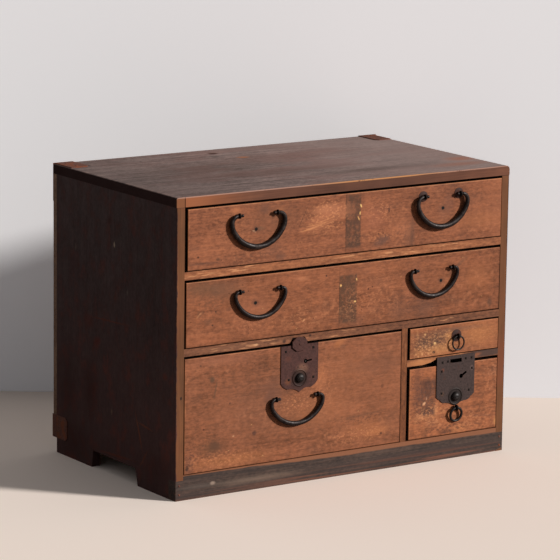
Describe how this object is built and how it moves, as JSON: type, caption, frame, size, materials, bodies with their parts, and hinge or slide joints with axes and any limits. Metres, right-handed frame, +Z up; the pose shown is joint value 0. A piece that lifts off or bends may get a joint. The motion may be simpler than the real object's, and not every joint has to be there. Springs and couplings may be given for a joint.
{
  "type": "clothing chest of drawers",
  "caption": "Low chest of old wood with five drawers, forged bail handles, two iron lock plates and iron corner straps.",
  "frame": {"origin": "middle of the chest's bounding box, at floor level", "axes": "+X along the front to the right as seen from in front, +Y to the back, +Z up"},
  "size_m": [0.7446, 0.4512, 0.5553],
  "materials": {
    "front_wood": "worn, oiled",
    "panel_wood": "dark, satin",
    "rail_wood": "worn, oiled",
    "plinth_wood": "dark, satin",
    "inner_wood": "bare, matte",
    "iron": "blackened, worn satin",
    "rusty_iron": "rusted, matte"
  },
  "bodies": {
    "case": {"left_side": "panel_wood", "right_side": "panel_wood", "top_board": "panel_wood", "top_corner_block": "panel_wood", "bottom_board": "inner_wood", "back_boards": "inner_wood", "base_rail": "plinth_wood", "upper_rail": "rail_wood", "lower_rail": "rail_wood", "partition": "rail_wood", "small_rail": "rail_wood", "shelf_boards": "inner_wood", "corner_straps": "rusty_iron", "case_nails": "rusty_iron"},
    "top_drawer": {"top_drawer_front": "front_wood", "top_drawer_box": "inner_wood", "top_drawer_bottom": "inner_wood", "top_drawer_eye_pins": "iron", "top_drawer_rosettes": "iron"},
    "middle_drawer": {"middle_drawer_front": "front_wood", "middle_drawer_box": "inner_wood", "middle_drawer_bottom": "inner_wood", "middle_drawer_eye_pins": "iron"},
    "large_drawer": {"large_drawer_front": "front_wood", "large_drawer_box": "inner_wood", "large_drawer_bottom": "inner_wood", "large_drawer_eye_pins": "iron", "large_lock_plate": "rusty_iron", "large_lock_nails": "iron", "large_lock_case": "iron"},
    "small_drawer": {"small_drawer_front": "front_wood", "small_drawer_box": "inner_wood", "small_drawer_bottom": "inner_wood", "small_drawer_eye_pin": "iron", "small_drawer_rosette": "iron"},
    "square_drawer": {"square_drawer_front": "front_wood", "square_drawer_box": "inner_wood", "square_drawer_bottom": "inner_wood", "square_drawer_eye_pin": "iron", "square_lock_plate": "iron", "square_lock_nails": "iron", "square_lock_case": "iron"},
    "top_left_bail": {"top_left_bail": "iron"},
    "top_right_bail": {"top_right_bail": "iron"},
    "middle_left_bail": {"middle_left_bail": "iron"},
    "middle_right_bail": {"middle_right_bail": "iron"},
    "large_bail": {"large_bail": "iron"},
    "small_ring": {"small_ring": "iron"},
    "square_ring": {"square_ring": "iron"},
    "large_button": {"large_lock_button": "iron", "large_lock_spring": "iron"},
    "square_button": {"square_lock_button": "iron", "square_lock_spring": "iron"},
    "large_tab": {"large_lock_tab": "iron"},
    "large_bolt": {"large_lock_bolt": "iron"},
    "square_bolt": {"square_lock_bolt": "iron"}
  },
  "joints": [
    {"name": "top_drawer_slide", "type": "slide", "parent": "case", "child": "top_drawer", "axis": [0, -1, 0], "range_m": [0, 0.3]},
    {"name": "middle_drawer_slide", "type": "slide", "parent": "case", "child": "middle_drawer", "axis": [0, -1, 0], "range_m": [0, 0.3]},
    {"name": "large_drawer_slide", "type": "slide", "parent": "case", "child": "large_drawer", "axis": [0, -1, 0], "range_m": [0, 0.3]},
    {"name": "small_drawer_slide", "type": "slide", "parent": "case", "child": "small_drawer", "axis": [0, -1, 0], "range_m": [0, 0.3]},
    {"name": "square_drawer_slide", "type": "slide", "parent": "case", "child": "square_drawer", "axis": [0, -1, 0], "range_m": [0, 0.3]},
    {"name": "top_left_bail_hinge", "type": "hinge", "parent": "top_drawer", "child": "top_left_bail", "pos_m": [-0.20016, -0.21848, 0.5105], "axis": [-1, 0, 0], "range_deg": [0, 150]},
    {"name": "top_right_bail_hinge", "type": "hinge", "parent": "top_drawer", "child": "top_right_bail", "pos_m": [0.20946, -0.21998, 0.5105], "axis": [-1, 0, 0], "range_deg": [0, 150]},
    {"name": "middle_left_bail_hinge", "type": "hinge", "parent": "middle_drawer", "child": "middle_left_bail", "pos_m": [-0.19428, -0.21848, 0.3715], "axis": [-1, 0, 0], "range_deg": [0, 150]},
    {"name": "middle_right_bail_hinge", "type": "hinge", "parent": "middle_drawer", "child": "middle_right_bail", "pos_m": [0.19408, -0.21848, 0.3715], "axis": [-1, 0, 0], "range_deg": [0, 150]},
    {"name": "large_bail_hinge", "type": "hinge", "parent": "large_drawer", "child": "large_bail", "pos_m": [-0.11111, -0.21848, 0.1638], "axis": [-1, 0, 0], "range_deg": [0, 150]},
    {"name": "small_ring_hinge", "type": "hinge", "parent": "small_drawer", "child": "small_ring", "pos_m": [0.25309, -0.21985, 0.238], "axis": [-1, 0, 0], "range_deg": [0, 150]},
    {"name": "square_ring_hinge", "type": "hinge", "parent": "square_drawer", "child": "square_ring", "pos_m": [0.25239, -0.21985, 0.09911], "axis": [-1, 0, 0], "range_deg": [0, 150]},
    {"name": "large_button_slide", "type": "slide", "parent": "large_drawer", "child": "large_button", "axis": [0, 1, 0], "range_m": [0, 0.003], "stiffness_N_per_m": 300, "deforming": ["large_lock_spring"]},
    {"name": "square_button_slide", "type": "slide", "parent": "square_drawer", "child": "square_button", "axis": [0, 1, 0], "range_m": [0, 0.003], "stiffness_N_per_m": 300, "deforming": ["square_lock_spring"]},
    {"name": "large_tab_slide", "type": "slide", "parent": "large_drawer", "child": "large_tab", "axis": [0, -1, 0], "range_m": [0, 0.009]},
    {"name": "large_bolt_slide", "type": "slide", "parent": "large_drawer", "child": "large_bolt", "axis": [0, 0, 1], "range_m": [0, 0.01]},
    {"name": "square_bolt_slide", "type": "slide", "parent": "square_drawer", "child": "square_bolt", "axis": [0, 0, 1], "range_m": [0, 0.01]}
  ]
}
